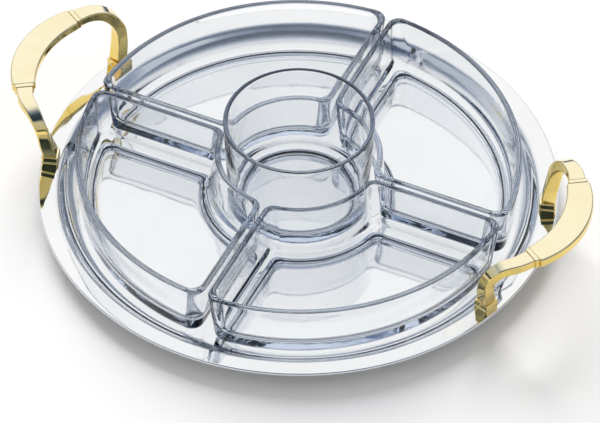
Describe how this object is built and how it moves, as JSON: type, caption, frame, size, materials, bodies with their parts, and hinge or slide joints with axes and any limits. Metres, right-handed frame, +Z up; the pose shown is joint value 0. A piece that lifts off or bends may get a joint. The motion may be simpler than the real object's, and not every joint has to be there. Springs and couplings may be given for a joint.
{
  "type": "chip and dip server",
  "caption": "Round steel tray with gilt loop handles, carrying quarter-ring glass dishes around a taller glass dip bowl; dishes and bowl lift out.",
  "frame": {"origin": "centre of the tray on the table, directly under the dip bowl", "axes": "+Z up out of the dip bowl, +X through the two handles, +Y along the grips"},
  "size_m": [0.4206, 0.355, 0.0747],
  "materials": {
    "tray_steel": "mirror-polished stainless steel",
    "dish_glass": "clear pressed glass, fire-polished rims",
    "handle_gilt": "polished gold plate",
    "fastener_steel": "plain machined steel"
  },
  "bodies": {
    "root": {"tray": "tray_steel", "right_handle_grip": "handle_gilt", "right_rear_ferrule": "handle_gilt", "right_rear_arm": "handle_gilt", "right_rear_foot": "handle_gilt", "right_front_ferrule": "handle_gilt", "right_front_arm": "handle_gilt", "right_front_foot": "handle_gilt", "right_grip_studs": "fastener_steel", "right_foot_screws": "fastener_steel", "right_foot_washers": "fastener_steel", "left_handle_grip": "handle_gilt", "left_rear_ferrule": "handle_gilt", "left_rear_arm": "handle_gilt", "left_rear_foot": "handle_gilt", "left_front_ferrule": "handle_gilt", "left_front_arm": "handle_gilt", "left_front_foot": "handle_gilt", "left_grip_studs": "fastener_steel", "left_foot_screws": "fastener_steel", "left_foot_washers": "fastener_steel"},
    "dip_bowl_body": {"dip_bowl": "dish_glass"},
    "rear_right_dish_body": {"rear_right_dish": "dish_glass"},
    "rear_left_dish_body": {"rear_left_dish": "dish_glass"},
    "front_left_dish_body": {"front_left_dish": "dish_glass"},
    "front_right_dish_body": {"front_right_dish": "dish_glass"}
  },
  "joints": [
    {"name": "dip_bowl_lift", "type": "slide", "parent": "root", "child": "dip_bowl_body", "axis": [0, 0, 1], "range_m": [0, 0.12]},
    {"name": "rear_right_dish_lift", "type": "slide", "parent": "root", "child": "rear_right_dish_body", "axis": [0.147, 0.147, 0.9782], "range_m": [0, 0.12]},
    {"name": "rear_left_dish_lift", "type": "slide", "parent": "root", "child": "rear_left_dish_body", "axis": [-0.147, 0.147, 0.9782], "range_m": [0, 0.12]},
    {"name": "front_left_dish_lift", "type": "slide", "parent": "root", "child": "front_left_dish_body", "axis": [-0.147, -0.147, 0.9782], "range_m": [0, 0.12]},
    {"name": "front_right_dish_lift", "type": "slide", "parent": "root", "child": "front_right_dish_body", "axis": [0.147, -0.147, 0.9782], "range_m": [0, 0.12]}
  ]
}
